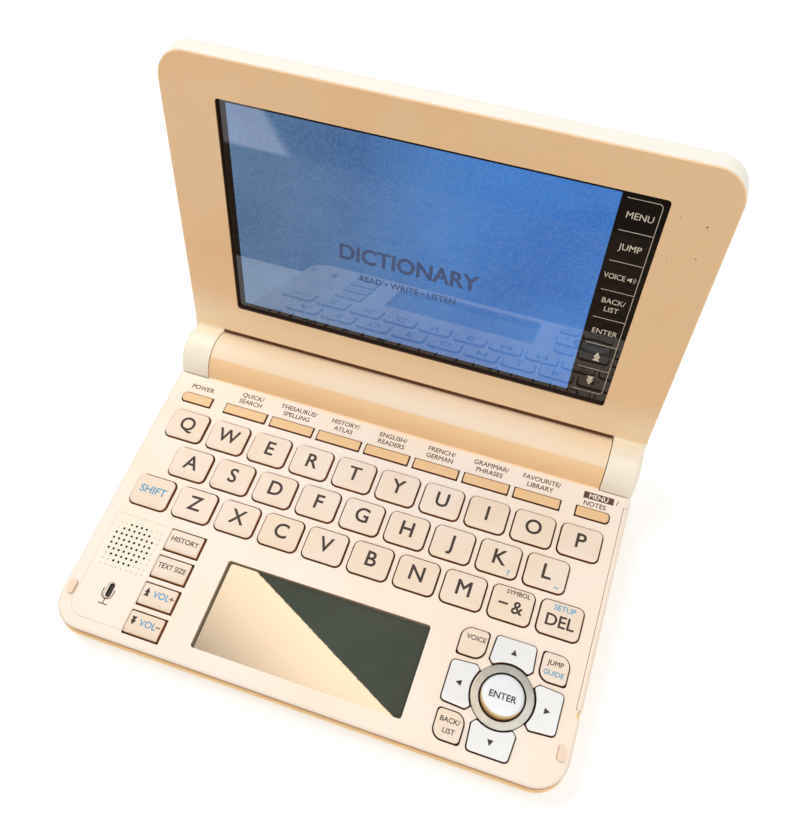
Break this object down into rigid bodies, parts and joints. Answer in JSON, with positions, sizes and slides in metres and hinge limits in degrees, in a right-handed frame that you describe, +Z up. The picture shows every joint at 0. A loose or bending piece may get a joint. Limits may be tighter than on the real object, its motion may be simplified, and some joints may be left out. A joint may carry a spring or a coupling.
{
  "type": "electronic dictionary",
  "caption": "Pocket electronic dictionary: keyboard case with writing panel, arrow pad, speaker grille and battery barrel, and a hinged screen lid with a wide bezel.",
  "frame": {"origin": "centre of the bounding box at the level it stands on, with the lid open as in use", "axes": "+X along the hinge to the right as the user sees it, +Y from the front edge to the rear, +Z up"},
  "size_m": [0.148, 0.1297, 0.1015],
  "materials": {
    "case_upper": "satin cream",
    "case_lower": "satin pale beige",
    "lid_shell": "gloss white",
    "bezel": "gloss tan",
    "screen": "lit display behind a clear face",
    "writing_film": "dark touch film",
    "letter_key": "satin cream",
    "function_key": "satin tan",
    "white_key": "gloss white",
    "ring_metal": "silver plated plastic",
    "rubber": "matte",
    "mat_rubber": "matte translucent",
    "pin_steel": "turned steel",
    "screw_steel": "black zinc",
    "board": "solder mask",
    "cell_jacket": "printed steel jacket"
  },
  "bodies": {
    "case": {"top_case": "case_upper", "bottom_case": "case_lower", "batteries": "cell_jacket", "hinge_pins": "pin_steel", "speaker_panel": "case_upper", "writing_panel": "writing_film", "pad_ring": "ring_metal", "rubber_feet": "rubber", "case_screws": "screw_steel", "main_board": "board", "key_mat": "mat_rubber"},
    "lid": {"lid_bezel": "bezel", "lid_back": "lid_shell", "screen_panel": "screen"},
    "battery_door": {"battery_door": "case_lower"},
    "stylus": {"stylus": "case_upper"},
    "keys_books": {"keys_books": "function_key"},
    "key_q": {"key_q": "letter_key"},
    "key_w": {"key_w": "letter_key"},
    "key_e": {"key_e": "letter_key"},
    "key_r": {"key_r": "letter_key"},
    "key_t": {"key_t": "letter_key"},
    "key_y": {"key_y": "letter_key"},
    "key_u": {"key_u": "letter_key"},
    "key_i": {"key_i": "letter_key"},
    "key_o": {"key_o": "letter_key"},
    "key_p": {"key_p": "letter_key"},
    "key_a": {"key_a": "letter_key"},
    "key_s": {"key_s": "letter_key"},
    "key_d": {"key_d": "letter_key"},
    "key_f": {"key_f": "letter_key"},
    "key_g": {"key_g": "letter_key"},
    "key_h": {"key_h": "letter_key"},
    "key_j": {"key_j": "letter_key"},
    "key_k": {"key_k": "letter_key"},
    "key_l": {"key_l": "letter_key"},
    "key_shift": {"key_shift": "letter_key"},
    "key_z": {"key_z": "letter_key"},
    "key_x": {"key_x": "letter_key"},
    "key_c": {"key_c": "letter_key"},
    "key_v": {"key_v": "letter_key"},
    "key_b": {"key_b": "letter_key"},
    "key_n": {"key_n": "letter_key"},
    "key_m": {"key_m": "letter_key"},
    "key_symbol": {"key_symbol": "letter_key"},
    "key_delete": {"key_delete": "letter_key"},
    "key_power": {"key_power": "function_key"},
    "key_menu": {"key_menu": "function_key"},
    "key_volume_down": {"key_volume_down": "letter_key"},
    "key_volume_up": {"key_volume_up": "letter_key"},
    "key_text_size": {"key_text_size": "letter_key"},
    "key_history": {"key_history": "letter_key"},
    "key_up": {"key_up": "white_key"},
    "key_left": {"key_left": "white_key"},
    "key_down": {"key_down": "white_key"},
    "key_right": {"key_right": "white_key"},
    "key_voice": {"key_voice": "letter_key"},
    "key_jump": {"key_jump": "letter_key"},
    "key_back": {"key_back": "letter_key"},
    "key_enter": {"key_enter": "white_key"}
  },
  "joints": [
    {"name": "lid_hinge", "type": "hinge", "parent": "case", "child": "lid", "pos_m": [0, 0.03085, 0.00974], "axis": [1, 0, 0], "range_deg": [-42.7, 107.3]},
    {"name": "door_pull", "type": "slide", "parent": "case", "child": "battery_door", "axis": [0, 0.3305, -0.9438], "range_m": [0, 0.012]},
    {"name": "stylus_pull", "type": "slide", "parent": "case", "child": "stylus", "axis": [1, 0, 0], "range_m": [0, 0.015]},
    {"name": "key_q_press", "type": "slide", "parent": "case", "child": "key_q", "axis": [0, 0.0401, -0.9992], "range_m": [0, 0.0008], "stiffness_N_per_m": 500},
    {"name": "key_w_press", "type": "slide", "parent": "case", "child": "key_w", "axis": [0, 0.0401, -0.9992], "range_m": [0, 0.0008], "stiffness_N_per_m": 500},
    {"name": "key_e_press", "type": "slide", "parent": "case", "child": "key_e", "axis": [0, 0.0401, -0.9992], "range_m": [0, 0.0008], "stiffness_N_per_m": 500},
    {"name": "key_r_press", "type": "slide", "parent": "case", "child": "key_r", "axis": [0, 0.0401, -0.9992], "range_m": [0, 0.0008], "stiffness_N_per_m": 500},
    {"name": "key_t_press", "type": "slide", "parent": "case", "child": "key_t", "axis": [0, 0.0401, -0.9992], "range_m": [0, 0.0008], "stiffness_N_per_m": 500},
    {"name": "key_y_press", "type": "slide", "parent": "case", "child": "key_y", "axis": [0, 0.0401, -0.9992], "range_m": [0, 0.0008], "stiffness_N_per_m": 500},
    {"name": "key_u_press", "type": "slide", "parent": "case", "child": "key_u", "axis": [0, 0.0401, -0.9992], "range_m": [0, 0.0008], "stiffness_N_per_m": 500},
    {"name": "key_i_press", "type": "slide", "parent": "case", "child": "key_i", "axis": [0, 0.0401, -0.9992], "range_m": [0, 0.0008], "stiffness_N_per_m": 500},
    {"name": "key_o_press", "type": "slide", "parent": "case", "child": "key_o", "axis": [0, 0.0401, -0.9992], "range_m": [0, 0.0008], "stiffness_N_per_m": 500},
    {"name": "key_p_press", "type": "slide", "parent": "case", "child": "key_p", "axis": [0, 0.0401, -0.9992], "range_m": [0, 0.0008], "stiffness_N_per_m": 500},
    {"name": "key_a_press", "type": "slide", "parent": "case", "child": "key_a", "axis": [0, 0.0401, -0.9992], "range_m": [0, 0.0008], "stiffness_N_per_m": 500},
    {"name": "key_s_press", "type": "slide", "parent": "case", "child": "key_s", "axis": [0, 0.0401, -0.9992], "range_m": [0, 0.0008], "stiffness_N_per_m": 500},
    {"name": "key_d_press", "type": "slide", "parent": "case", "child": "key_d", "axis": [0, 0.0401, -0.9992], "range_m": [0, 0.0008], "stiffness_N_per_m": 500},
    {"name": "key_f_press", "type": "slide", "parent": "case", "child": "key_f", "axis": [0, 0.0401, -0.9992], "range_m": [0, 0.0008], "stiffness_N_per_m": 500},
    {"name": "key_g_press", "type": "slide", "parent": "case", "child": "key_g", "axis": [0, 0.0401, -0.9992], "range_m": [0, 0.0008], "stiffness_N_per_m": 500},
    {"name": "key_h_press", "type": "slide", "parent": "case", "child": "key_h", "axis": [0, 0.0401, -0.9992], "range_m": [0, 0.0008], "stiffness_N_per_m": 500},
    {"name": "key_j_press", "type": "slide", "parent": "case", "child": "key_j", "axis": [0, 0.0401, -0.9992], "range_m": [0, 0.0008], "stiffness_N_per_m": 500},
    {"name": "key_k_press", "type": "slide", "parent": "case", "child": "key_k", "axis": [0, 0.0401, -0.9992], "range_m": [0, 0.0008], "stiffness_N_per_m": 500},
    {"name": "key_l_press", "type": "slide", "parent": "case", "child": "key_l", "axis": [0, 0.0401, -0.9992], "range_m": [0, 0.0008], "stiffness_N_per_m": 500},
    {"name": "key_shift_press", "type": "slide", "parent": "case", "child": "key_shift", "axis": [0, 0.0401, -0.9992], "range_m": [0, 0.0008], "stiffness_N_per_m": 500},
    {"name": "key_z_press", "type": "slide", "parent": "case", "child": "key_z", "axis": [0, 0.0401, -0.9992], "range_m": [0, 0.0008], "stiffness_N_per_m": 500},
    {"name": "key_x_press", "type": "slide", "parent": "case", "child": "key_x", "axis": [0, 0.0401, -0.9992], "range_m": [0, 0.0008], "stiffness_N_per_m": 500},
    {"name": "key_c_press", "type": "slide", "parent": "case", "child": "key_c", "axis": [0, 0.0401, -0.9992], "range_m": [0, 0.0008], "stiffness_N_per_m": 500},
    {"name": "key_v_press", "type": "slide", "parent": "case", "child": "key_v", "axis": [0, 0.0401, -0.9992], "range_m": [0, 0.0008], "stiffness_N_per_m": 500},
    {"name": "key_b_press", "type": "slide", "parent": "case", "child": "key_b", "axis": [0, 0.0401, -0.9992], "range_m": [0, 0.0008], "stiffness_N_per_m": 500},
    {"name": "key_n_press", "type": "slide", "parent": "case", "child": "key_n", "axis": [0, 0.0401, -0.9992], "range_m": [0, 0.0008], "stiffness_N_per_m": 500},
    {"name": "key_m_press", "type": "slide", "parent": "case", "child": "key_m", "axis": [0, 0.0401, -0.9992], "range_m": [0, 0.0008], "stiffness_N_per_m": 500},
    {"name": "key_symbol_press", "type": "slide", "parent": "case", "child": "key_symbol", "axis": [0, 0.0401, -0.9992], "range_m": [0, 0.0008], "stiffness_N_per_m": 500},
    {"name": "key_delete_press", "type": "slide", "parent": "case", "child": "key_delete", "axis": [0, 0.0401, -0.9992], "range_m": [0, 0.0008], "stiffness_N_per_m": 500},
    {"name": "key_power_press", "type": "slide", "parent": "case", "child": "key_power", "axis": [0, 0.0401, -0.9992], "range_m": [0, 0.0008], "stiffness_N_per_m": 500},
    {"name": "key_menu_press", "type": "slide", "parent": "case", "child": "key_menu", "axis": [0, 0.0401, -0.9992], "range_m": [0, 0.0008], "stiffness_N_per_m": 500},
    {"name": "key_volume_down_press", "type": "slide", "parent": "case", "child": "key_volume_down", "axis": [0, 0.0401, -0.9992], "range_m": [0, 0.0008], "stiffness_N_per_m": 500},
    {"name": "key_volume_up_press", "type": "slide", "parent": "case", "child": "key_volume_up", "axis": [0, 0.0401, -0.9992], "range_m": [0, 0.0008], "stiffness_N_per_m": 500},
    {"name": "key_text_size_press", "type": "slide", "parent": "case", "child": "key_text_size", "axis": [0, 0.0401, -0.9992], "range_m": [0, 0.0008], "stiffness_N_per_m": 500},
    {"name": "key_history_press", "type": "slide", "parent": "case", "child": "key_history", "axis": [0, 0.0401, -0.9992], "range_m": [0, 0.0008], "stiffness_N_per_m": 500},
    {"name": "key_up_press", "type": "slide", "parent": "case", "child": "key_up", "axis": [0, 0.0401, -0.9992], "range_m": [0, 0.0008], "stiffness_N_per_m": 500},
    {"name": "key_left_press", "type": "slide", "parent": "case", "child": "key_left", "axis": [0, 0.0401, -0.9992], "range_m": [0, 0.0008], "stiffness_N_per_m": 500},
    {"name": "key_down_press", "type": "slide", "parent": "case", "child": "key_down", "axis": [0, 0.0401, -0.9992], "range_m": [0, 0.0008], "stiffness_N_per_m": 500},
    {"name": "key_right_press", "type": "slide", "parent": "case", "child": "key_right", "axis": [0, 0.0401, -0.9992], "range_m": [0, 0.0008], "stiffness_N_per_m": 500},
    {"name": "key_voice_press", "type": "slide", "parent": "case", "child": "key_voice", "axis": [0, 0.0401, -0.9992], "range_m": [0, 0.0008], "stiffness_N_per_m": 500},
    {"name": "key_jump_press", "type": "slide", "parent": "case", "child": "key_jump", "axis": [0, 0.0401, -0.9992], "range_m": [0, 0.0008], "stiffness_N_per_m": 500},
    {"name": "key_back_press", "type": "slide", "parent": "case", "child": "key_back", "axis": [0, 0.0401, -0.9992], "range_m": [0, 0.0008], "stiffness_N_per_m": 500},
    {"name": "key_enter_press", "type": "slide", "parent": "case", "child": "key_enter", "axis": [0, 0.0401, -0.9992], "range_m": [0, 0.0008], "stiffness_N_per_m": 500},
    {"name": "key_books_press", "type": "slide", "parent": "case", "child": "keys_books", "axis": [0, 0.0401, -0.9992], "range_m": [0, 0.0008], "stiffness_N_per_m": 500}
  ]
}
